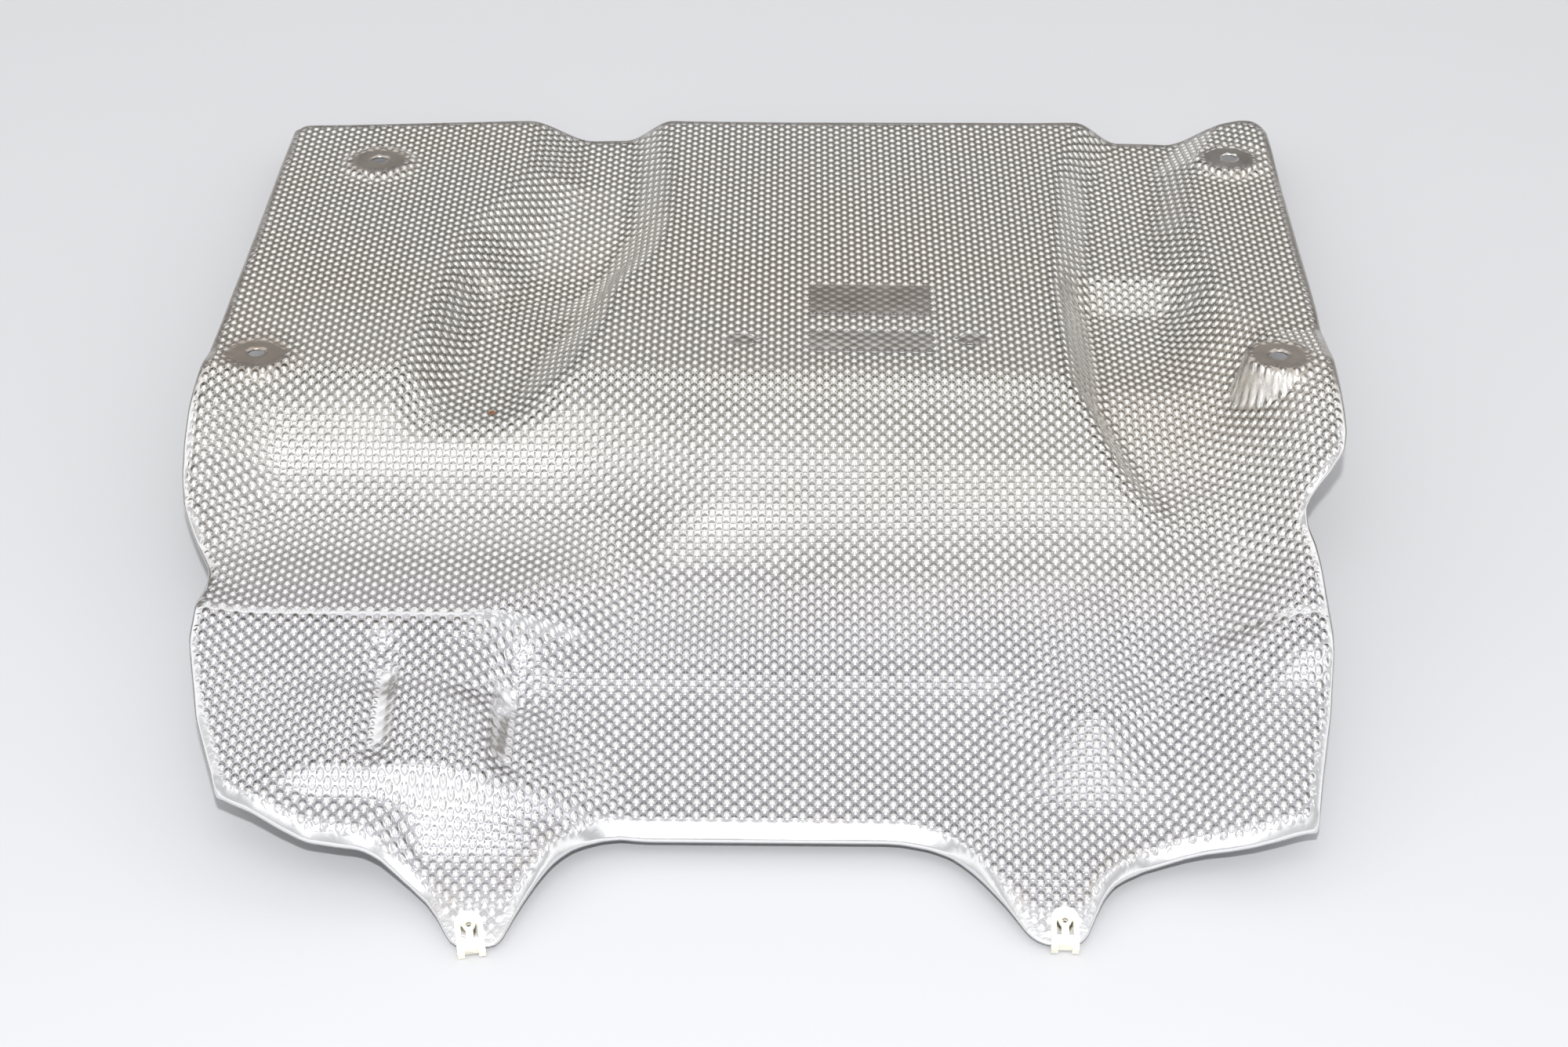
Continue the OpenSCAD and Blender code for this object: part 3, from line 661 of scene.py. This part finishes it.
def ivory():
    m, g, bsdf = new_material("ivory_plastic")
    here = g.add("ShaderNodeTexCoord").outputs["Object"]
    tint = g.remap(g.noise(here, 90.0, 3.0), 0.35, 0.7, 0.0, 1.0, True)
    base = g.mix(tint, (0.86, 0.84, 0.75, 1), (0.80, 0.76, 0.62, 1))
    bump = g.add("ShaderNodeBump")
    height = g.math("MULTIPLY", g.noise(here, 1400.0, 3.0), 0.00006)
    g.put(bump, Strength=0.7, Distance=1.0, Height=height)
    g.put(bsdf, Base_Color=base, Roughness=g.remap(g.noise(here, 300.0, 2.0), 0.3, 0.7, 0.38, 0.52),
          Normal=bump.outputs[0])
    bsdf.inputs["Subsurface Weight"].default_value = 0.15
    bsdf.inputs["Subsurface Radius"].default_value = (0.003, 0.0025, 0.0015)
    return m


# ------------------------------------------------------------------ the object
sheet_ob = build_sheet()
sheet_ob.data.materials.append(aluminium())
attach(sheet_ob, "root")
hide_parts("heat_shield")

plastic = ivory()
for name in ("clip_left", "clip_right"):
    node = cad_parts[name]
    node.data.materials.clear()
    node.data.materials.append(plastic)
    weld = node.modifiers.new("weld", "WELD")
    weld.merge_threshold = 0.00001
    soft = node.modifiers.new("soft_edges", "BEVEL")
    soft.width = 0.00035
    soft.segments = 2
    soft.limit_method = "ANGLE"
    soft.angle_limit = math.radians(40)

# ------------------------------------------------------------------ floor, camera, light
floor_mesh = bpy.data.meshes.new("floor")
floor_mesh.from_pydata([(-6, -6, 0), (6, -6, 0), (6, 6, 0), (-6, 6, 0)], [], [(0, 1, 2, 3)])
floor = bpy.data.objects.new("floor", floor_mesh)
bpy.context.scene.collection.objects.link(floor)
floor.location.z = -0.0003
fmat, fg, fb = new_material("pale_floor")
fb.inputs["Base Color"].default_value = (0.532, 0.536, 0.553, 1)
fb.inputs["Roughness"].default_value = 0.75
floor.data.materials.append(fmat)

cam_data = bpy.data.cameras.new("camera")
cam_data.sensor_width = 36.0
cam_data.lens = 84.6
cam = bpy.data.objects.new("camera", cam_data)
bpy.context.scene.collection.objects.link(cam)
el, roll = math.radians(40.97), math.radians(-0.66)
R = np.array([[1, 0, 0], [0, -math.sin(el), math.cos(el)], [0, -math.cos(el), -math.sin(el)]])
R = R @ np.array([[math.cos(roll), -math.sin(roll), 0], [math.sin(roll), math.cos(roll), 0], [0, 0, 1]])
place = Matrix.Identity(4)
for r in range(3):
    place[r][0], place[r][1], place[r][2] = R[r, 0], -R[r, 1], -R[r, 2]
place[0][3], place[1][3], place[2][3] = 0.011, (MID_V - 1767.77) / 1000.0, (1244.36 + REST_LIFT) / 1000.0
cam.matrix_world = place
bpy.context.scene.camera = cam

flash_data = bpy.data.lights.new("flash", "AREA")
flash_data.shape = "DISK"
flash_data.size = 0.05
flash_data.energy = 28.0
flash = bpy.data.objects.new("flash", flash_data)
bpy.context.scene.collection.objects.link(flash)
flash.location = (0.011, (MID_V - 1767.77) / 1000.0 + 0.02, 1.246 + 0.245)
flash.rotation_mode = "QUATERNION"
flash.rotation_quaternion = (Vector((0, 0, 0.03)) - Vector(flash.location)).to_track_quat("-Z", "Y")

world = bpy.data.worlds.new("studio")
bpy.context.scene.world = world
world.use_nodes = True
world.node_tree.nodes.clear()
wg = Nodes(world.node_tree)
sky = wg.add("ShaderNodeTexCoord").outputs["Generated"]
lean = math.radians(20.0)  # the soft box overhead leans toward the camera
toward = wg.vec("DOT_PRODUCT", sky, (0.0, -math.sin(lean), math.cos(lean)), out=1)
bands = wg.add("ShaderNodeValToRGB")
wg.put(bands, Fac=wg.remap(toward, -1.0, 1.0, 0.0, 1.0))
stops = [(0.0, (0.42, 0.42, 0.425)), (0.30, (0.26, 0.258, 0.255)), (0.36, (0.17, 0.162, 0.152)), (0.45, (0.17, 0.156, 0.14)),
         (0.48, (0.23, 0.213, 0.193)), (0.505, (0.33, 0.31, 0.287)), (0.535, (0.47, 0.448, 0.424)),
         (0.57, (0.88, 0.864, 0.845)), (0.64, (0.96, 0.95, 0.942)), (0.72, (1.28, 1.28, 1.28)),
         (0.77, (1.31, 1.31, 1.315)), (0.815, (0.74, 0.74, 0.745)), (0.86, (0.62, 0.62, 0.627)),
         (0.905, (0.75, 0.75, 0.756)), (0.95, (1.14, 1.14, 1.145)), (0.968, (1.24, 1.24, 1.24)),
         (0.982, (2.4, 2.4, 2.4)), (1.0, (2.8, 2.8, 2.82))]
ramp_el = bands.color_ramp.elements
ramp_el[0].position, ramp_el[0].color = stops[0][0], (*stops[0][1], 1)
ramp_el[1].position, ramp_el[1].color = stops[-1][0], (*stops[-1][1], 1)
for pos, col in stops[1:-1]:
    e = ramp_el.new(pos)
    e.color = (*col, 1)
back_light = wg.add("ShaderNodeBackground")
wg.put(back_light, Color=bands.outputs[0], Strength=1.0)
wout = wg.add("ShaderNodeOutputWorld")
world.node_tree.links.new(back_light.outputs[0], wout.inputs[0])

bpy.context.scene.view_settings.view_transform = "Standard"
